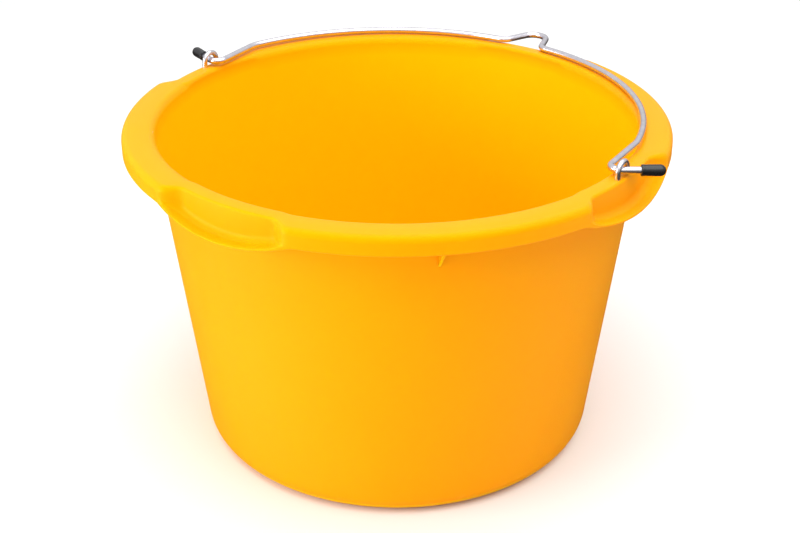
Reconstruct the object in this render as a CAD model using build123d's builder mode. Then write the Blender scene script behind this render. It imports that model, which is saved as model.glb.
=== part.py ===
from build123d import *
from math import asin, cos, degrees, radians, sin, tan
import os

# Round mortar bucket with a wire bail, in millimetres.
# Origin: centre of the base plane. +Z is up, and the bail hinges about a line along X.
# The bail lies folded on the rim towards +Y.

# Driving dimensions: the tub
height = 251.0
base_radius = 150.5
draft = 6.7
wall = 2.85
floor_thickness = 3.2
base_corner = 16.0
foot_height = 2.0
foot_width = 8.5
gate_boss_radius = 22.0
base_rib_width = 3.0
base_rib_count = 8

# Driving dimensions: the rim and its four hand pockets
rim_radius = 201.0
rim_thickness = 3.0
rim_outer_round = 5.0
rim_inner_round = 6.0
skirt_thickness = 2.5
skirt_depth = 14.0
pocket_count = 4
pocket_wall_radius = 190.0
pocket_inner_angle = 12.3
pocket_outer_angle = 15.2
pocket_corner = 10.0
pocket_scoop = 4.5
pocket_edge_round = 3.0
lip_drop = 10.2
lip_thickness = 2.0
lip_half_width = 58.0
gusset_thickness = 2.0
gusset_drop = 22.0

# Driving dimensions: the eyelets, wire staples moulded into the rim
eyelet_wire = 4.0
eyelet_x = 186.0
eyelet_pitch = 13.0
eyelet_height = 12.3
eyelet_depth = 14.0
eyelet_foot = 8.0
eyelet_bend = 4.0
boss_margin = 2.2

# Driving dimensions: the bail. Its arc is bent a little off the middle, towards -X.
bail_wire = 5.0
hinge_height = 4.2
rest_gap = 0.3
bail_radius = 182.5
bail_centre = 3.5
bail_offset = 5.5
arm_x = 176.3
kink_reach = 48.0
kink_radius = 26.0
crook_radius = 6.8
end_angle_right = 36.0
end_angle_left = 20.0
seat_height = 26.5
seat_radius = 10.5
seat_slope = 70.0
seat_foot_radius = 8.0

# Driving dimensions: the end caps
cap_gap_right = 12.4
cap_gap_left = 10.6
cap_length = 16.8
cap_diameter = 8.0
cap_nose = 3.9
cap_tip = 2.8

# Worked-out sizes
slope = tan(radians(draft))
skirt_bottom = height - skirt_depth
skirt_inner = rim_radius - skirt_thickness
rim_underside = height - rim_thickness
lip_bottom = skirt_bottom - lip_drop
lip_curve = (lip_half_width**2 + lip_drop**2) / (2 * lip_drop)
inner_floor = foot_height + floor_thickness
hinge_z = height + hinge_height
clear = 2.0
pocket_turn = 360 / pocket_count

# Round profiles are drawn midway between two pockets, so that their seams miss the pockets
profile = Plane.XZ.rotated((0, 0, pocket_turn / 2))


def wall_radius(z):
    """Outer radius of the tub's wall at a height."""
    return base_radius + slope * z


def polar(radius, angle):
    """A point in plan, from its radius and its angle in degrees."""
    return Vector(radius * cos(radians(angle)), radius * sin(radians(angle)))


def pocket_air(grow):
    """The air of the hand pocket at +X, whose floor follows the lip's curve.

    It is grown on every side by a thickness of plastic.
    """
    inner = polar(pocket_wall_radius, pocket_inner_angle)
    outer = polar(rim_radius, pocket_outer_angle)
    beyond = outer + (outer - inner) * clear
    with BuildPart() as air:
        with BuildSketch(Plane.XY.offset(lip_bottom - clear)) as plan:
            with BuildLine():
                Polyline(inner, beyond, (beyond.X, -beyond.Y), (inner.X, -inner.Y))
                ThreePointArc((inner.X, -inner.Y), (pocket_wall_radius, 0), inner)
            make_face()
            fillet(plan.vertices().group_by(Axis.X)[0], pocket_corner)
            if grow > 0:
                offset(amount=grow, kind=Kind.INTERSECTION)
        extrude(amount=height)
        with BuildSketch(Plane.YZ):
            with Locations((0, lip_bottom + lip_thickness - grow + lip_curve)):
                Circle(lip_curve)
        extrude(amount=2 * rim_radius, mode=Mode.INTERSECT)
        floor = air.faces().sort_by(Axis.Z)[0]
        outer_side = floor.edges().sort_by(Axis.X)[-1]
        fillet(floor.edges() - [outer_side], pocket_scoop + grow)
    return air.part


# The lip that hangs below the skirt under a hand pocket, at +X
with BuildPart() as lip:
    with BuildSketch(Plane.YZ.offset(base_radius)):
        with Locations((0, lip_bottom + lip_curve)):
            Circle(lip_curve)
        with Locations((0, skirt_bottom + clear + lip_curve)):
            Rectangle(2 * lip_curve, 2 * lip_curve, mode=Mode.SUBTRACT)
    extrude(amount=rim_radius)
    Cylinder(rim_radius, 2 * height, rotation=(0, 0, 180), mode=Mode.INTERSECT)

# A gusset between the wall and the skirt, midway between two pockets
gusset_foot = skirt_bottom - gusset_drop
gusset_root = wall_radius(gusset_foot) - wall / 2
gusset_tip = skirt_inner + skirt_thickness / 2
gusset_top = rim_underside + rim_thickness / 2
with BuildPart() as gusset:
    with BuildSketch(profile):
        with BuildLine():
            Polyline(
                (gusset_root, gusset_foot),
                (gusset_tip, skirt_bottom + skirt_thickness),
                (gusset_tip, gusset_top),
                (gusset_root, gusset_top),
                close=True,
            )
        make_face()
    extrude(amount=gusset_thickness / 2, both=True)

# Eyelets: each is an inverted U of wire, whose legs end in feet bent outwards inside the rim
arch_radius = eyelet_pitch / 2
arch_z = height + eyelet_height - eyelet_wire / 2 - arch_radius
feet_z = height - eyelet_depth
with BuildPart() as eyelet_right:
    with BuildLine(Plane.YZ.offset(eyelet_x)) as staple:
        leg = FilletPolyline(
            (arch_radius + eyelet_foot, feet_z),
            (arch_radius, feet_z),
            (arch_radius, arch_z),
            radius=eyelet_bend,
        )
        RadiusArc(leg @ 1, (-arch_radius, arch_z), -arch_radius)
        mirror(leg, about=Plane.XZ)
    with BuildSketch(Plane(staple.wire() @ 0, z_dir=staple.wire() % 0)):
        Circle(eyelet_wire / 2)
    sweep(path=staple.wire())
eyelet_right.part.label = "eyelet_right"

with BuildPart() as eyelet_left:
    mirror(eyelet_right.part, about=Plane.YZ)
eyelet_left.part.label = "eyelet_left"

# The channel under the rim, between the wall and the skirt. It stops at the pockets' walls, at the
# gussets and at the two solid bosses round the eyelets' legs.
channel_bottom = lip_bottom - clear
boss_half_width = eyelet_pitch / 2 + eyelet_foot + boss_margin
boss_bottom = feet_z - eyelet_wire / 2 - boss_margin
with BuildPart() as channel:
    with BuildSketch(profile):
        with BuildLine():
            Polyline(
                (wall_radius(channel_bottom), channel_bottom),
                (skirt_inner, channel_bottom),
                (skirt_inner, rim_underside),
                (wall_radius(rim_underside), rim_underside),
                close=True,
            )
        make_face()
    revolve(axis=Axis.Z)
    with PolarLocations(0, pocket_count):
        add(pocket_air(skirt_thickness), mode=Mode.SUBTRACT)
    with PolarLocations(0, pocket_count):
        add(gusset.part, mode=Mode.SUBTRACT)
    with BuildSketch(Plane.XY.offset(boss_bottom)):
        Rectangle(3 * rim_radius, 2 * boss_half_width)
    extrude(amount=height, mode=Mode.SUBTRACT)

# Tub
with BuildPart() as tub:
    with BuildSketch(profile) as blank:
        with BuildLine():
            Polyline(
                (0, 0),
                (base_radius, 0),
                (wall_radius(skirt_bottom), skirt_bottom),
                (rim_radius, skirt_bottom),
                (rim_radius, height),
                (0, height),
                close=True,
            )
        make_face()
        fillet(blank.vertices().sort_by_distance((base_radius, 0))[0], base_corner)
        fillet(blank.vertices().sort_by_distance((rim_radius, height))[0], rim_outer_round)
    revolve(axis=Axis.Z)
    with PolarLocations(0, pocket_count):
        add(lip.part)
    with PolarLocations(0, pocket_count):
        add(pocket_air(0), mode=Mode.SUBTRACT)
    pocket_edges = tub.edges(Select.LAST).filter_by_position(Axis.Z, skirt_bottom + clear, height)
    fillet(pocket_edges.filter_by(lambda edge: not edge.is_interior), pocket_edge_round)
    with PolarLocations(0, pocket_count):
        add(gusset.part)
    add(channel.part, mode=Mode.SUBTRACT)

    # Inside of the tub, widened at the top by the round of the mouth's edge
    with BuildSketch(profile) as inside:
        with BuildLine():
            Polyline(
                (0, inner_floor),
                (wall_radius(inner_floor) - wall, inner_floor),
                (wall_radius(height) - wall, height),
                (rim_radius, height),
                (rim_radius, height + clear),
                (0, height + clear),
                close=True,
            )
        make_face()
        mouth_corner = inside.vertices().sort_by_distance((wall_radius(height) - wall, height))[0]
        fillet(mouth_corner, rim_inner_round)
        fillet(inside.vertices().sort_by_distance((base_radius, inner_floor))[0], base_corner - wall)
    revolve(axis=Axis.Z, mode=Mode.SUBTRACT)

    # Underside: a foot ring, a boss round the gate and radial ribs, all level at the base plane
    foot_inner = base_radius - base_corner - foot_width
    with BuildSketch(Plane.XY):
        Circle(foot_inner)
        Circle(gate_boss_radius, mode=Mode.SUBTRACT)
        with PolarLocations(foot_inner / 2, base_rib_count, start_angle=pocket_turn / 4):
            Rectangle(foot_inner, base_rib_width, mode=Mode.SUBTRACT)
    extrude(amount=foot_height, mode=Mode.SUBTRACT)

    add(eyelet_right.part, mode=Mode.SUBTRACT)
    add(eyelet_left.part, mode=Mode.SUBTRACT)
tub.part.label = "tub"

# Bail: each half of the wire's centre line is drawn flat as a right half, from its end to the top
# of the hook seat, and the left one is mirrored.
seat_centre = bail_centre + bail_radius + seat_height - seat_radius
seat_lean = 90 - seat_slope
seat_line = (seat_centre - bail_centre) + seat_radius / cos(radians(seat_slope))
foot_angle = 90 + seat_lean - degrees(asin(seat_line * sin(radians(seat_lean)) / bail_radius))


def end_point(end_angle, distance):
    """A point on the axis of a wire's end, at a distance outwards from its eyelet."""
    return Vector(eyelet_x, 0) + polar(distance, end_angle)


def bail_half(arc_x, end_angle, end_length):
    """Half of the bail's centre line, whose arc is centred at arc_x."""
    arc_centre = Vector(arc_x, bail_centre)
    crook = Vector(arm_x, -(eyelet_x - arm_x) * tan(radians(end_angle)))
    kink_angle = degrees(asin((kink_reach - bail_centre) / bail_radius))
    kink = arc_centre + polar(bail_radius, kink_angle)
    foot = arc_centre + polar(bail_radius, foot_angle)
    seat = Vector(arc_x, seat_centre)
    with BuildLine() as half:
        Polyline(end_point(end_angle, end_length), crook, kink)
        CenterArc(arc_centre, bail_radius, kink_angle, foot_angle - kink_angle)
        Line(foot, seat + polar(seat_radius, seat_lean))
        for corner, radius in ((crook, crook_radius), (kink, kink_radius), (foot, seat_foot_radius)):
            fillet(half.vertices().sort_by_distance(corner)[0], radius)
        CenterArc(seat, seat_radius, seat_lean, seat_slope)
    return half.line


# The bail's plane holds the hinge line, and dips just enough to rest the wire on the rim
rest_dip = (hinge_height - bail_wire / 2 - rest_gap) / pocket_wall_radius
bail_plane = Plane((0, 0, hinge_z), x_dir=(1, 0, 0), z_dir=(0, rest_dip, 1))
bore_depth = cap_length - cap_tip
with BuildLine() as centre_line:
    add(bail_half(-bail_offset, end_angle_right, cap_gap_right + bore_depth))
    add(bail_half(bail_offset, end_angle_left, cap_gap_left + bore_depth).mirror(Plane.YZ))
path = centre_line.wire().moved(bail_plane.location)
with BuildPart() as bail:
    with BuildSketch(Plane(path @ 0, z_dir=path % 0)):
        Circle(bail_wire / 2)
    sweep(path=path)
bail.part.label = "bail"

# End caps: hollow sleeves with a round nose, pushed over the wire's ends
with BuildPart() as sleeve:
    with BuildSketch():
        Circle(cap_diameter / 2)
    extrude(amount=cap_length)
    fillet(sleeve.faces().sort_by(Axis.Z)[-1].edges(), cap_nose)
    with BuildSketch():
        Circle(bail_wire / 2)
    extrude(amount=bore_depth, mode=Mode.SUBTRACT)


def cap_plane(side, end_angle, gap):
    """The plane of a cap's mouth, on the right or the left side, facing along the wire's end."""
    mouth = end_point(end_angle, gap)
    way = polar(1, end_angle)
    flat = Plane((side * mouth.X, mouth.Y, 0), z_dir=(side * way.X, way.Y, 0))
    return Plane(bail_plane.location * flat.location)


with BuildPart() as end_cap_right:
    add(sleeve.part.moved(cap_plane(1, end_angle_right, cap_gap_right).location))
end_cap_right.part.label = "end_cap_right"

with BuildPart() as end_cap_left:
    add(sleeve.part.moved(cap_plane(-1, end_angle_left, cap_gap_left).location))
end_cap_left.part.label = "end_cap_left"

os.makedirs("parts", exist_ok=True)
for piece in (tub, bail, eyelet_right, eyelet_left, end_cap_right, end_cap_left):
    export_step(piece.part, f"parts/{piece.part.label}.step")
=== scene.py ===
"""Studio picture of a mortar bucket: a moulded tub with a wire bail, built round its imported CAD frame.

Lengths are in millimetres until a mesh is made, and the row frame's metres after that.
"""

from math import acos, asin, cos, degrees, pi, radians, sin, sqrt, tan

import bmesh
import bpy
import numpy as np
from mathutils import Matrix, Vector


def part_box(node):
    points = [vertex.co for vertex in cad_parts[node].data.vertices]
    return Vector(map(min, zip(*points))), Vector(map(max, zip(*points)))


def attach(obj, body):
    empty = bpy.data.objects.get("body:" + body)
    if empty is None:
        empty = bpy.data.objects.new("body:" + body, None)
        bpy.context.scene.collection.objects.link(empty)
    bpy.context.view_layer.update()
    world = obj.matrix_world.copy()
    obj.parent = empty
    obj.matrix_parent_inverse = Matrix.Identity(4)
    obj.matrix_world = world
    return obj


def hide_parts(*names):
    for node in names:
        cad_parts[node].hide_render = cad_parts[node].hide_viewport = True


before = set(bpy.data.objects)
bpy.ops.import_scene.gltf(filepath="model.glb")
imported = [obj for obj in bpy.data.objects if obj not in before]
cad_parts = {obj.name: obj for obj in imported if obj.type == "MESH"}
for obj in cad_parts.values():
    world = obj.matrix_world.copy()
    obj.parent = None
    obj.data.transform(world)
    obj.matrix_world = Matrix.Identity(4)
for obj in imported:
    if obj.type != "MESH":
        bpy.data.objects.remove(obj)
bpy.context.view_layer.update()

MM = 0.001
_, tub_high = (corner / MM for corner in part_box("tub"))

# Tub: the round shell
rim_radius = tub_high.x
height = tub_high.z
base_radius = 150.5
draft = 6.7
wall = 2.85
floor_thickness = 3.2
base_corner = 16.0
rim_thickness = 3.0
rim_outer_round = 5.0
rim_inner_round = 6.0
rim_crown = 0.6
rim_crown_radius = 70.0
skirt_thickness = 2.5
skirt_depth = 14.0
skirt_edge_round = 0.9
under_rim_round = 1.5

# Tub: hand pockets and the lips that hang under them
pocket_count = 4
pocket_wall_radius = 190.0
pocket_inner_angle = 12.3
pocket_outer_angle = 15.2
pocket_inner_blend = 3.8
pocket_outer_blend = 3.0
pocket_scoop = 4.5
pocket_edge_round = 3.0
pocket_side_swell = 1.4
pocket_side_knee = 6.0
lip_drop = 10.2
lip_half_width = 58.0
lip_thickness = 2.0
lip_edge_round = 0.7
lip_blend = 0.6
boss_half_width = 16.7
boss_drop = 18.2
boss_blend = 2.5
gusset_thickness = 2.0
gusset_drop = 22.0

# Tub: the underside
foot_height = 2.0
foot_width = 8.5
base_rib_count = 8
base_rib_width = 3.0
gate_boss_radius = 22.0
gate_dimple_radius = 8.0
gate_dimple_depth = 1.0
gate_stub_radius = 2.0
gate_stub_gap = 0.4

# Eyelets
eyelet_wire = 4.0
eyelet_x = 186.0
eyelet_pitch = 13.0
eyelet_height = 12.3
eyelet_depth = 14.0

# Bail, whose arc is bent a little off the middle, and its end caps
bail_wire = 5.0
hinge_height = 4.2
rest_gap = 0.3
bail_radius = 182.5
bail_centre = 3.5
bail_offset = 5.5
arm_x = 176.3
kink_reach = 48.0
kink_radius = 26.0
crook_radius = 6.8
end_angle_right = 36.0
end_angle_left = 20.0
seat_height = 26.5
seat_radius = 10.5
seat_slope = 70.0
seat_foot_radius = 8.0
cap_gap_right = 12.4
cap_gap_left = 10.6
cap_length = 16.8
cap_radius = 4.0
cap_tip = 2.8
cap_nose = 3.9
cap_end_gap = 0.4
cap_mouth_length = 1.6
cap_dip_start = 2.6
cap_dip = 0.15

# Mesh fineness
columns = 384
wire_sides = 24

slope = tan(radians(draft))
skirt_bottom = height - skirt_depth
lip_bottom = skirt_bottom - lip_drop
lip_curve = (lip_half_width**2 + lip_drop**2) / (2 * lip_drop)
skirt_inner = rim_radius - skirt_thickness
inner_floor = foot_height + floor_thickness
hinge_z = height + hinge_height
foot_inner = base_radius - base_corner - foot_width


# Shapes: small geometry helpers


def wall_radius(z):
    """Outer radius of the tub's wall at a height."""
    return base_radius + slope * z


def soft_ramp(x, width):
    """Zero for negative x and x for positive x, with the corner between them rounded."""
    return np.where(x < -width, 0, np.where(x > width, x, (x + width) ** 2 / (4 * width)))


def soft_step(x, width):
    """From 0 to 1 round x = 0, over a width."""
    t = np.clip(x / width + 0.5, 0, 1)
    return t * t * (3 - 2 * t)


def arc(centre, radius, start, end, steps):
    """Points of an arc in a plane, between two angles in degrees."""
    a = np.radians(np.linspace(start, end, steps + 1))
    return np.array(centre) + radius * np.column_stack([np.cos(a), np.sin(a)])


def rounded(corners, radii, arc_steps, run_steps):
    """Outlines through corners with rounded turns: one outline per column, as [point, column, 2].

    corners is [corner, column, 2] and radii is [corner, column]. The first and the last corner are
    the outline's ends. arc_steps and run_steps count the steps of each turn and each straight run.
    Where a run is too short for the turns at its two ends, both turns shrink to fit.
    """
    corners = np.asarray(corners, float)
    radii = np.asarray(radii, float)
    runs = np.diff(corners, axis=0)
    lengths = np.maximum(np.linalg.norm(runs, axis=2), 1e-9)
    ways = runs / lengths[..., None]
    turns = np.zeros(corners.shape[:2])
    turns[1:-1] = np.arccos(np.clip((ways[:-1] * ways[1:]).sum(2), -1, 1))
    reaches = radii * np.tan(turns / 2)
    shrink = np.minimum(1, 0.98 * lengths / np.maximum(reaches[:-1] + reaches[1:], 1e-9))
    reaches[1:-1] *= np.minimum(shrink[:-1], shrink[1:])
    last_corner = len(corners) - 1
    rows = [corners[0]]
    for i in range(1, last_corner + 1):
        reach = reaches[i][:, None]
        first = corners[i] - ways[i - 1] * reach
        start = rows[-1]
        steps = run_steps[i - 1]
        rows += [start + (first - start) * k / steps for k in range(1, steps)]
        if i == last_corner:
            rows.append(corners[i])
            break
        last = corners[i] + ways[i] * reach
        weight = np.cos(turns[i] / 2)[:, None]
        for t in np.linspace(0, 1, arc_steps[i] + 1):
            shares = (1 - t) ** 2, 2 * t * (1 - t) * weight, t**2
            rows.append((shares[0] * first + shares[1] * corners[i] + shares[2] * last) / sum(shares))
    return np.array(rows)


def grid_faces(rows, count, closed=True, flip=False):
    """Quads of a grid of rows by count points, closed round each row."""
    spans = count if closed else count - 1
    row, column = np.meshgrid(np.arange(rows - 1) * count, np.arange(spans), indexing="ij")
    after = (column + 1) % count
    quads = np.stack([row + column, row + after, row + count + after, row + count + column], -1)
    quads = quads.reshape(-1, 4)
    return quads[:, ::-1] if flip else quads


def new_piece(name, points, faces, body, nodes, material, smooth_angle=35):
    """A mesh piece from points in millimetres, riding on a body in place of some CAD nodes."""
    mesh = bpy.data.meshes.new(name)
    mesh.from_pydata((np.asarray(points, float) * MM).tolist(), [], [list(map(int, f)) for f in faces])
    outward = bmesh.new()
    outward.from_mesh(mesh)
    bmesh.ops.recalc_face_normals(outward, faces=outward.faces)
    outward.to_mesh(mesh)
    outward.free()
    mesh.shade_smooth()
    mesh.set_sharp_from_angle(angle=radians(smooth_angle))
    piece = bpy.data.objects.new(name, mesh)
    bpy.context.scene.collection.objects.link(piece)
    mesh.materials.append(material)
    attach(piece, body)
    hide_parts(*nodes)
    return piece


def add_attribute(piece, name, values):
    """Stores a three-number value on each point of a piece, for its material to read."""
    layer = piece.data.attributes.new(name, "FLOAT_VECTOR", "POINT")
    layer.data.foreach_set("vector", np.asarray(values, np.float32).ravel())


# Tub


def column_angles():
    """Angles of the tub's columns in radians, closer together at the sides of the hand pockets."""
    half = 180 / pocket_count
    fine = np.linspace(-half, half, 20001)
    side = (pocket_inner_angle + pocket_outer_angle) / 2
    reach = np.degrees(boss_half_width / pocket_wall_radius)
    crowd = 5 * np.exp(-(((np.abs(fine) - side) / 2.6) ** 4))
    density = 1 + crowd + 4 * np.exp(-(((np.abs(fine) - reach) / 0.5) ** 2))
    total = np.concatenate([[0], np.cumsum((density[1:] + density[:-1]) / 2)])
    per_pocket = columns // pocket_count
    quarter = np.interp(np.arange(per_pocket) / per_pocket * total[-1], total, fine)
    return np.radians(np.concatenate([quarter + 2 * half * k for k in range(pocket_count)]))


def lip_height(across):
    """Height of the skirt's bottom edge at a distance across from a pocket's middle."""
    inside = np.sqrt(lip_curve**2 - np.minimum(np.abs(across), lip_curve) ** 2)
    sag = skirt_bottom - (lip_bottom + lip_curve - inside)
    return skirt_bottom - soft_ramp(sag, lip_blend)


def mixed(share, first, second):
    """A pair of numbers that goes from the first pair to the second as share goes from 0 to 1."""
    return tuple(a + (b - a) * share for a, b in zip(first, second))


def tub_shell(angles):
    """The tub's outline at every column, from the foot ring, outside and over the rim, to the floor."""
    pocket_turn = 2 * pi / pocket_count
    off = (angles + pocket_turn / 2) % pocket_turn - pocket_turn / 2
    middle = (pocket_wall_radius + rim_radius) / 2
    along = middle * np.abs(off)
    start = middle * radians(pocket_inner_angle)
    end = middle * radians(pocket_outer_angle)
    rise = (rim_radius - pocket_wall_radius) / (end - start)
    ramp = soft_ramp(along - start, pocket_inner_blend) - soft_ramp(along - end, pocket_outer_blend)
    face = pocket_wall_radius + rise * ramp
    outside = (face - pocket_wall_radius) / (rim_radius - pocket_wall_radius)
    opened = 1 - outside
    inner = face - skirt_thickness * (1 + pocket_side_swell * outside * opened)
    fold = np.abs(np.sin(off))
    on_hinge = np.abs(np.cos(angles)) > cos(pi / 4)
    boss = on_hinge * soft_step(boss_half_width - pocket_wall_radius * fold, boss_blend)
    ceiling = height - rim_thickness - (boss_drop - rim_thickness) * boss
    edge = rim_outer_round + (pocket_edge_round - rim_outer_round) * soft_step(opened - 0.5, 0.9)
    under = lip_height(skirt_inner * fold)
    brim = lip_height(rim_radius * fold)
    shelf = lip_height(face * fold) + lip_thickness
    plate = lip_height(inner * fold)
    flat = np.ones_like(angles)
    # Under the rim, a pocket's columns run along the underside of its floor and the others up and
    # down the skirt's inner side. They change over beside the pocket, inside the plastic.
    level = (ceiling + under) / 2
    half_gap = 1.5
    step = (rim_radius - inner) / 3
    fall = (brim - plate) / 3
    skirt = skirt_inner * flat
    past = outside**4
    floor_in = mixed(past, (inner, plate), (inner, level + half_gap))
    floor_middle = mixed(past, (inner + step, plate + fall), (skirt, level - half_gap))
    floor_out = mixed(past, (inner + 2 * step, plate + 2 * fall), (skirt, under))
    mouth = (wall_radius(height) - wall) * flat
    crown = height - rim_crown
    corners = [
        (foot_inner * flat, 0 * flat),
        (base_radius * flat, 0 * flat),
        (wall_radius(ceiling), ceiling),
        (inner, ceiling),
        floor_in,
        floor_middle,
        floor_out,
        (rim_radius * flat, brim),
        (rim_radius * flat, brim + lip_thickness + outside),
        mixed(outside, (face, shelf), (face, brim + pocket_side_knee)),
        (face, crown * flat),
        ((face + mouth) / 2, height * flat),
        (mouth, crown * flat),
        ((wall_radius(inner_floor) - wall) * flat, inner_floor * flat),
        (0 * flat, inner_floor * flat),
    ]
    corners = np.array([np.stack(c, -1) for c in corners])
    radii = [
        0 * flat,
        base_corner * flat,
        under_rim_round * flat,
        under_rim_round * flat,
        skirt_edge_round * flat,
        skirt_edge_round * flat,
        skirt_edge_round * flat,
        skirt_edge_round * flat,
        lip_edge_round * flat,
        pocket_scoop * opened + 0.5,
        edge,
        rim_crown_radius * flat,
        rim_inner_round * flat,
        (base_corner - wall) * flat,
        0 * flat,
    ]
    arc_steps = [0, 10, 3, 3, 4, 2, 4, 4, 4, 8, 9, 4, 9, 10, 0]
    run_steps = [3, 26, 2, 2, 2, 2, 1, 3, 2, 3, 3, 3, 26, 24]
    return rounded(corners, radii, arc_steps, run_steps)


def underside(angles):
    """Rows of points from the foot ring's inner edge to the middle of the base, as [row, column, 3].

    The columns gather at the ribs, so that each rib has straight sides.
    """
    per_rib = columns // base_rib_count
    half = base_rib_width / 2
    wing = 0.35
    fan = np.arange(columns) % per_rib
    pitch = 2 * pi / base_rib_count
    first = np.round(angles[0] / pitch) * pitch
    sector = first + (np.arange(columns) // per_rib) * pitch
    rib = (per_rib // 2 - 2, per_rib // 2 - 1, per_rib // 2, per_rib // 2 + 1)
    places = (-half - wing, -half, half, half + wing)
    on_rib = np.isin(fan, rib[1:3])
    rows = []
    stops = [
        (foot_inner, 0),
        (foot_inner - 0.5, 1),
        (foot_inner * 0.8, 1),
        (foot_inner * 0.6, 1),
        (foot_inner * 0.4, 1),
        (gate_boss_radius + 0.5, 1),
        (gate_boss_radius, 0),
    ]
    for radius, depth in stops:
        at = [pitch / 2 + asin(p / radius) for p in places]
        marks = [0, rib[0], rib[1], rib[2], rib[3], per_rib]
        spread = np.interp(fan, marks, [0, *at, pitch])
        turned = sector + spread
        z = np.where(on_rib, 0, foot_height * depth)
        rows.append(np.stack([radius * np.cos(turned), radius * np.sin(turned), z], -1))
    even = first + np.arange(columns) * 2 * pi / columns
    dimple = [
        (gate_dimple_radius + 0.3, 0),
        (gate_dimple_radius, gate_dimple_depth),
        (gate_stub_radius + 0.2, gate_dimple_depth),
        (gate_stub_radius, gate_stub_gap),
    ]
    for radius, z in dimple:
        rows.append(np.stack([radius * np.cos(even), radius * np.sin(even), z + 0 * even], -1))
    return np.array(rows)


def gussets():
    """Thin webs between the wall and the skirt, one between each two pockets: points and faces."""
    foot = skirt_bottom - gusset_drop
    tip = rim_radius - skirt_thickness / 2
    under = height - rim_thickness
    outline = np.array([
        (wall_radius(foot) - wall / 2, foot),
        (tip, skirt_bottom + skirt_thickness),
        (tip, height - rim_outer_round - 1),
        (tip - 2.5, under + 0.5),
        (wall_radius(under), under + 0.5),
        (wall_radius((under + foot) / 2) - wall / 2, (under + foot) / 2),
    ])
    half = gusset_thickness / 2
    bevel = 0.35
    centre = outline.mean(0)
    points, faces = [], []
    for k in range(pocket_count):
        angle = (k + 0.5) * 2 * pi / pocket_count
        out = np.array([cos(angle), sin(angle)])
        across = np.array([-sin(angle), cos(angle)])
        base = len(points)
        for shift, inset in ((-half, bevel), (-half + bevel, 0), (half - bevel, 0), (half, bevel)):
            for r, z in outline:
                pull = (centre - (r, z)) / np.linalg.norm(centre - (r, z)) * inset
                place = out * (r + pull[0]) + across * shift
                points.append((place[0], place[1], z + pull[1]))
        n = len(outline)
        faces += [[base + i for i in q] for q in grid_faces(4, n)]
        faces.append([base + i for i in range(n)][::-1])
        faces.append([base + 3 * n + i for i in range(n)])
    return points, faces


def make_tub(material):
    """The tub's skin: one closed grid with hand pockets, lips, ribs and gate mark, and its gussets."""
    angles = column_angles()
    shell = tub_shell(angles)
    skin = np.stack([
        shell[..., 0] * np.cos(angles),
        shell[..., 0] * np.sin(angles),
        shell[..., 1],
    ], -1)
    below = underside(angles)
    rows = np.concatenate([below[::-1], skin[1:-1]])
    points = rows.reshape(-1, 3)
    faces = grid_faces(len(rows), columns).tolist()
    low_pole, high_pole = len(points), len(points) + 1
    last = (len(rows) - 1) * columns
    for i in range(columns):
        j = (i + 1) % columns
        faces.append([low_pole, j, i])
        faces.append([high_pole, last + i, last + j])
    points = np.vstack([points, [0, 0, gate_stub_gap], [0, 0, inner_floor]])
    web_points, web_faces = gussets()
    faces += [[len(points) + i for i in f] for f in web_faces]
    points = np.vstack([points, web_points])
    piece = new_piece("tub_skin", points, faces, "tub_body", ["tub"], material, smooth_angle=60)
    # The inside attribute carries painted light: the material paints the inside face paler, fading to
    # none over the last few millimetres below the rim.
    radius, z = np.hypot(points[:, 0], points[:, 1]), points[:, 2]
    painted_light_area = (radius < wall_radius(z) - 0.4 * wall) & (z > inner_floor - 0.1)
    fade_top = height - 2.5
    fade_depth = 8
    share = painted_light_area * np.clip((fade_top - z) / fade_depth, 0, 1)
    add_attribute(piece, "inside", np.column_stack([share, share, share]))


# Wire pieces and caps


def side_name(side):
    """The name of the side at +X or -X."""
    return "right" if side > 0 else "left"


def tube(path, normal, radius, sides):
    """A round tube along a flat path: points, faces, and (distance along, angle, 0) at each point."""
    path = np.asarray(path, float)
    steps = np.diff(path, axis=0)
    ways = np.vstack([steps[:1], steps[:-1] + steps[1:], steps[-1:]])
    ways /= np.linalg.norm(ways, axis=1)[:, None]
    normal = np.asarray(normal, float) / np.linalg.norm(normal)
    across = np.cross(normal, ways)
    along = np.concatenate([[0], np.cumsum(np.linalg.norm(steps, axis=1))])
    a = np.arange(sides) / sides * 2 * pi
    chamfer = 0.35
    stations = [(path[0], across[0], along[0], radius - chamfer)]
    stations.append((path[0] + ways[0] * chamfer, across[0], along[0], radius))
    stations += [(path[i], across[i], along[i], radius) for i in range(1, len(path) - 1)]
    stations.append((path[-1] - ways[-1] * chamfer, across[-1], along[-1], radius))
    stations.append((path[-1], across[-1], along[-1], radius - chamfer))
    points, marks = [], []
    for centre, side, distance, r in stations:
        ring = centre + r * (np.cos(a)[:, None] * side + np.sin(a)[:, None] * normal)
        points.append(ring)
        marks.append(np.column_stack([np.full(sides, distance), a, 0 * a]))
    faces = grid_faces(len(stations), sides, flip=True).tolist()
    last = (len(stations) - 1) * sides
    faces.append(list(range(sides)))
    faces.append([last + i for i in range(sides)][::-1])
    return np.concatenate(points), faces, np.concatenate(marks)


def turn_corner(before, corner, after, radius, steps):
    """Points of the arc that rounds the corner between two straight runs."""
    before, corner, after = (np.array(p, float) for p in (before, corner, after))
    first = (corner - before) / np.linalg.norm(corner - before)
    last = (after - corner) / np.linalg.norm(after - corner)
    turn = acos(np.clip(first @ last, -1, 1))
    reach = radius * tan(turn / 2)
    t = np.linspace(0, 1, steps + 1)[:, None]
    weights = (1 - t) ** 2, 2 * t * (1 - t) * cos(turn / 2), t**2
    ends = corner - first * reach, corner, corner + last * reach
    return sum(w * p for w, p in zip(weights, ends)) / sum(weights)


def straight(start, end, pitch=3.0):
    """Points between two places, without the places themselves."""
    start, end = np.array(start, float), np.array(end, float)
    count = max(1, int(np.linalg.norm(end - start) / pitch))
    return start + (end - start) * (np.arange(1, count) / count)[:, None]


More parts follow.
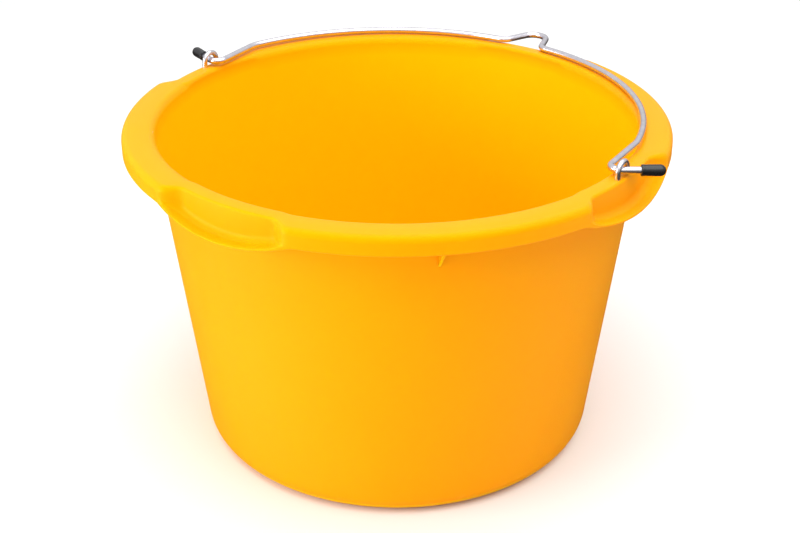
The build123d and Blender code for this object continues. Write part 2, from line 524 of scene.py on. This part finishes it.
def bail_plane():
    """The plane the bail lies in at rest: its origin, X, Y and normal."""
    dip = (hinge_height - bail_wire / 2 - rest_gap) / pocket_wall_radius
    y = np.array([0, 1, -dip]) / sqrt(1 + dip**2)
    return np.array([0, 0, hinge_z]), np.array([1.0, 0, 0]), y, np.cross([1.0, 0, 0], y)


def in_bail_plane(flat):
    """Places drawn flat, laid in the bail's plane."""
    origin, x, y, _ = bail_plane()
    flat = np.atleast_2d(flat)
    return origin + flat[:, :1] * x + flat[:, 1:] * y


def end_way(end_angle):
    """Direction of the bail's right end in its plane."""
    return np.array([cos(radians(end_angle)), sin(radians(end_angle))])


def bail_half(arc_x, end_angle, gap):
    """Centre line of half of the bail, as a right half: from the end to the top of the hook seat."""
    end = np.array([eyelet_x, 0]) + end_way(end_angle) * (gap + cap_length - cap_tip - cap_end_gap)
    crook = np.array([arm_x, -(eyelet_x - arm_x) * tan(radians(end_angle))])
    centre = np.array([arc_x, bail_centre])
    kink_angle = degrees(asin((kink_reach - bail_centre) / bail_radius))
    seat = np.array([arc_x, bail_centre + bail_radius + seat_height - seat_radius])
    lean = 90 - seat_slope
    # The hook seat's leg is the line that touches the seat's arc where the seat's slope is steepest
    line_height = seat[1] - bail_centre + seat_radius / cos(radians(seat_slope))
    foot_angle = 90 + lean - degrees(asin(line_height * sin(radians(lean)) / bail_radius))
    top = seat + seat_radius * end_way(lean)
    kink = centre + bail_radius * end_way(kink_angle)
    foot = centre + bail_radius * end_way(foot_angle)
    near = 10
    line = [end[None]]
    places = [
        (end, crook, kink, crook_radius, 18),
        (crook, kink, kink + near * end_way(kink_angle + 90), kink_radius, 6),
        (foot - near * end_way(foot_angle + 90), foot, top, seat_foot_radius, 8),
    ]
    turns = [turn_corner(*place) for place in places]
    line += [straight(end, turns[0][0]), turns[0], straight(turns[0][-1], turns[1][0]), turns[1]]
    first = kink_angle + degrees(np.linalg.norm(turns[1][-1] - kink) / bail_radius)
    last = foot_angle - degrees(np.linalg.norm(turns[2][0] - foot) / bail_radius)
    line += [arc(centre, bail_radius, first, last, 70)[1:-1], turns[2]]
    line += [straight(turns[2][-1], top), arc(seat, seat_radius, lean, 90, 10)]
    return np.concatenate(line)


def make_bail(material):
    """The bail: galvanised wire from cap to cap."""
    right = bail_half(-bail_offset, end_angle_right, cap_gap_right)
    left = bail_half(bail_offset, end_angle_left, cap_gap_left)[:-1] * (-1, 1)
    path = in_bail_plane(np.vstack([right, left[::-1]]))
    points, faces, marks = tube(path, bail_plane()[3], bail_wire / 2, wire_sides)
    piece = new_piece("bail_wire", points, faces, "bail_body", ["bail"], material)
    add_attribute(piece, "wire", marks)


def make_eyelet(side, material):
    """One staple eyelet: an arch of wire whose legs go down into the rim."""
    half = eyelet_pitch / 2
    arch_z = height + eyelet_height - eyelet_wire / 2 - half
    low = height - eyelet_depth
    x = side * eyelet_x
    leg = [(half, low), *straight((half, low), (half, arch_z))]
    flat = np.vstack([leg, arc((0, arch_z), half, 0, 180, 24), np.array(leg)[::-1] * (-1, 1)])
    path = np.column_stack([np.full(len(flat), x), flat])
    points, faces, marks = tube(path, (1, 0, 0), eyelet_wire / 2, wire_sides)
    name = side_name(side)
    piece = new_piece(
        f"eyelet_wire_{name}", points, faces, "tub_body", [f"eyelet_{name}"], material
    )
    add_attribute(piece, "wire", marks)


def make_cap(side, end_angle, gap, material):
    """One end cap: a soft sleeve with a rolled mouth and a round nose."""
    profile = [
        (0, cap_length - cap_tip),
        (bail_wire / 2, cap_length - cap_tip),
        (bail_wire / 2, 0),
        (cap_radius, 0),
        (cap_radius, cap_mouth_length),
        (cap_radius - cap_dip, cap_dip_start),
        (cap_radius, cap_length * 0.55),
        (cap_radius, cap_length),
        (0, cap_length),
    ]
    radii = [0, 0.6, 0.35, 0.6, 0.8, 1.2, 30.0, cap_nose, 0]
    arc_steps = [0, 3, 3, 5, 3, 3, 5, 14, 0]
    run_steps = [2, 4, 1, 1, 1, 3, 3, 2]
    corners = np.array(profile)[:, None]
    outline = rounded(corners, np.array(radii)[:, None], arc_steps, run_steps)[:, 0]
    outline = outline[1:-1]
    sides = 48
    a = np.arange(sides) / sides * 2 * pi
    way = end_way(end_angle) * (side, 1)
    start = in_bail_plane(np.array([side * eyelet_x, 0]) + way * gap)[0]
    along = in_bail_plane(way)[0] - in_bail_plane((0, 0))[0]
    normal = bail_plane()[3]
    across = np.cross(normal, along)
    points = [
        start + along * z + r * (np.cos(a)[:, None] * across + np.sin(a)[:, None] * normal)
        for r, z in outline
    ]
    faces = grid_faces(len(points), sides).tolist()
    last = (len(points) - 1) * sides
    points = np.vstack([*points, start + along * (cap_length - cap_tip), start + along * cap_length])
    for i in range(sides):
        j = (i + 1) % sides
        faces.append([len(points) - 2, j, i])
        faces.append([len(points) - 1, last + i, last + j])
    name = side_name(side)
    node = f"end_cap_{name}"
    new_piece(f"cap_{name}", points, faces, "bail_body", [node], material)


# Materials


def node_material(name):
    """A material with its node tree and its Principled shader."""
    material = bpy.data.materials.new(name)
    material.use_nodes = True
    return material, material.node_tree, material.node_tree.nodes["Principled BSDF"]


def add_node(tree, kind, **settings):
    """A node with some of its properties and socket values set."""
    node = tree.nodes.new(kind)
    for key, value in settings.items():
        if key in node.inputs:
            node.inputs[key].default_value = value
        else:
            setattr(node, key, value)
    return node


def vary_roughness(tree, shader, source, smoothest, roughest):
    """Lets a texture's output run a shader's roughness between two values."""
    shine = add_node(tree, "ShaderNodeMapRange")
    shine.inputs["To Min"].default_value = smoothest
    shine.inputs["To Max"].default_value = roughest
    tree.links.new(source, shine.inputs["Value"])
    tree.links.new(shine.outputs["Result"], shader.inputs["Roughness"])


def add_bump(tree, shader, source, strength, distance):
    """Lets a texture's output raise a fine relief on a shader, distance in metres."""
    bump = add_node(tree, "ShaderNodeBump", Strength=strength, Distance=distance)
    tree.links.new(source, bump.inputs["Height"])
    tree.links.new(bump.outputs["Normal"], shader.inputs["Normal"])


def plastic_material():
    """Yellow moulded plastic: slightly translucent, with a fine spark-eroded grain."""
    material, tree, shader = node_material("tub_plastic")
    link = tree.links.new
    place = add_node(tree, "ShaderNodeTexCoord")
    grain = add_node(tree, "ShaderNodeTexNoise", Scale=900.0, Detail=3.0, Roughness=0.6)
    sink = add_node(tree, "ShaderNodeTexNoise", Scale=14.0, Detail=2.0, Roughness=0.5)
    for texture in (grain, sink):
        link(place.outputs["Object"], texture.inputs["Vector"])
    tint = add_node(tree, "ShaderNodeMix", data_type="RGBA")
    deep, pale = [s for s in tint.inputs if s.type == "RGBA"]
    deep.default_value = (0.89, 0.324, 0.0005, 1)
    pale.default_value = (0.91, 0.338, 0.0005, 1)
    link(sink.outputs["Fac"], tint.inputs["Factor"])
    # The inside face is painted paler, with about half as much green again as the outside: painted
    # light. With one tint for both, the lights leave the inside darker than in the photo.
    side = add_node(tree, "ShaderNodeAttribute", attribute_name="inside")
    painted_light_mix = add_node(tree, "ShaderNodeMix", data_type="RGBA")
    outer, inner = [s for s in painted_light_mix.inputs if s.type == "RGBA"]
    inner.default_value = (0.92, 0.49, 0.0005, 1)
    link([s for s in tint.outputs if s.type == "RGBA"][0], outer)
    link(side.outputs["Fac"], painted_light_mix.inputs["Factor"])
    link([s for s in painted_light_mix.outputs if s.type == "RGBA"][0], shader.inputs["Base Color"])
    vary_roughness(tree, shader, sink.outputs["Fac"], 0.34, 0.44)
    add_bump(tree, shader, grain.outputs["Fac"], 0.12, 0.0002)
    shader.inputs["Specular IOR Level"].default_value = 0.2
    shader.inputs["Specular Tint"].default_value = (1.0, 0.8, 0.02, 1)
    shader.inputs["Subsurface Weight"].default_value = 0.25
    shader.inputs["Subsurface Radius"].default_value = (1.0, 0.45, 0.05)
    shader.inputs["Subsurface Scale"].default_value = 0.004
    return material


def zinc_material():
    """Galvanised wire: bright zinc with fine drawing lines along it and cloudy patches."""
    material, tree, shader = node_material("zinc_wire")
    link = tree.links.new
    mark = add_node(tree, "ShaderNodeAttribute", attribute_name="wire")
    stretch = add_node(tree, "ShaderNodeMapping")
    stretch.inputs["Scale"].default_value = (0.05, 6.0, 1.0)
    link(mark.outputs["Vector"], stretch.inputs["Vector"])
    lines = add_node(tree, "ShaderNodeTexNoise", Scale=3.0, Detail=4.0, Roughness=0.6)
    link(stretch.outputs["Vector"], lines.inputs["Vector"])
    place = add_node(tree, "ShaderNodeTexCoord")
    cloud = add_node(tree, "ShaderNodeTexNoise", Scale=160.0, Detail=3.0, Roughness=0.6)
    link(place.outputs["Object"], cloud.inputs["Vector"])
    tint = add_node(tree, "ShaderNodeValToRGB")
    tint.color_ramp.elements[0].position = 0.3
    tint.color_ramp.elements[0].color = (0.66, 0.64, 0.70, 1)
    tint.color_ramp.elements[1].position = 0.7
    tint.color_ramp.elements[1].color = (0.76, 0.74, 0.80, 1)
    link(cloud.outputs["Fac"], tint.inputs["Fac"])
    link(tint.outputs["Color"], shader.inputs["Base Color"])
    vary_roughness(tree, shader, lines.outputs["Fac"], 0.22, 0.30)
    add_bump(tree, shader, lines.outputs["Fac"], 0.1, 0.0001)
    shader.inputs["Metallic"].default_value = 1.0
    return material


def vinyl_material():
    """Soft black vinyl of the end caps, with a faint bloom and fine grain."""
    material, tree, shader = node_material("black_vinyl")
    link = tree.links.new
    place = add_node(tree, "ShaderNodeTexCoord")
    grain = add_node(tree, "ShaderNodeTexNoise", Scale=1400.0, Detail=3.0, Roughness=0.6)
    bloom = add_node(tree, "ShaderNodeTexNoise", Scale=260.0, Detail=3.0, Roughness=0.6)
    for texture in (grain, bloom):
        link(place.outputs["Object"], texture.inputs["Vector"])
    tint = add_node(tree, "ShaderNodeValToRGB")
    tint.color_ramp.elements[0].color = (0.004, 0.004, 0.005, 1)
    tint.color_ramp.elements[1].color = (0.009, 0.009, 0.011, 1)
    link(bloom.outputs["Fac"], tint.inputs["Fac"])
    link(tint.outputs["Color"], shader.inputs["Base Color"])
    vary_roughness(tree, shader, bloom.outputs["Fac"], 0.20, 0.32)
    add_bump(tree, shader, grain.outputs["Fac"], 0.15, 0.0001)
    return material


def floor_material():
    """Plain pale paper."""
    material, _, shader = node_material("floor_paper")
    shader.inputs["Base Color"].default_value = (0.82, 0.82, 0.82, 1)
    shader.inputs["Roughness"].default_value = 0.9
    shader.inputs["Specular IOR Level"].default_value = 0.1
    return material


# Studio

camera_azimuth = 36.0
camera_pitch = 27.83
camera_distance = 1.0915
camera_aim = Vector((0.0017, 0.0013, 0.1248))
camera_lens = 63.0


def around(azimuth, elevation, distance):
    """A place seen from the object: azimuth from the camera's side, positive to its right."""
    a = radians(azimuth + camera_azimuth)
    e = radians(elevation)
    return Vector((sin(a) * cos(e), -cos(a) * cos(e), sin(e))) * distance


def make_camera():
    """The camera at the picture's viewing angle."""
    data = bpy.data.cameras.new("camera")
    data.sensor_width = 36
    data.lens = camera_lens
    camera = bpy.data.objects.new("camera", data)
    bpy.context.scene.collection.objects.link(camera)
    camera.location = camera_aim + around(0, camera_pitch, camera_distance)
    camera.rotation_euler = (camera_aim - camera.location).to_track_quat("-Z", "Y").to_euler()
    bpy.context.scene.camera = camera


def make_light(name, place, size, power, target=Vector((0, 0, 0.15))):
    """A square soft box at a place, facing the object."""
    data = bpy.data.lights.new(name, "AREA")
    data.shape = "RECTANGLE"
    data.size, data.size_y = size
    data.energy = power
    light = bpy.data.objects.new(name, data)
    bpy.context.scene.collection.objects.link(light)
    light.location = place
    light.rotation_euler = (target - place).to_track_quat("-Z", "Y").to_euler()


def make_studio():
    """Pale floor, two soft boxes and a bright room that is dark below."""
    bpy.ops.mesh.primitive_plane_add(size=12)
    floor = bpy.context.object
    floor.name = "floor"
    floor.data.materials.append(floor_material())
    floor.visible_glossy = False
    floor.location.z = -0.0003
    make_light("key_box", around(-66, 11, 1.5), (1.0, 1.0), 22)
    make_light("top_box", around(35, 78, 1.6), (2.0, 2.0), 31)
    world = bpy.data.worlds.new("room")
    bpy.context.scene.world = world
    world.use_nodes = True
    tree = world.node_tree
    tree.nodes["Background"].inputs["Strength"].default_value = 0.8
    way = add_node(tree, "ShaderNodeTexCoord")
    parts = add_node(tree, "ShaderNodeSeparateXYZ")
    rise = add_node(tree, "ShaderNodeMapRange")
    rise.inputs["From Min"].default_value = -0.2
    rise.inputs["From Max"].default_value = 0.3
    room = add_node(tree, "ShaderNodeValToRGB")
    room.color_ramp.elements[0].color = (0.10, 0.08, 0.06, 1)
    room.color_ramp.elements[1].color = (1.0, 1.0, 1.0, 1)
    tree.links.new(way.outputs["Generated"], parts.inputs["Vector"])
    tree.links.new(parts.outputs["Z"], rise.inputs["Value"])
    tree.links.new(rise.outputs["Result"], room.inputs["Fac"])
    tree.links.new(room.outputs["Color"], tree.nodes["Background"].inputs["Color"])
    bpy.context.scene.view_settings.view_transform = "Standard"


plastic = plastic_material()
zinc = zinc_material()
vinyl = vinyl_material()
make_tub(plastic)
make_bail(zinc)
for side in (1, -1):
    make_eyelet(side, zinc)
make_cap(1, end_angle_right, cap_gap_right, vinyl)
make_cap(-1, end_angle_left, cap_gap_left, vinyl)
make_camera()
make_studio()
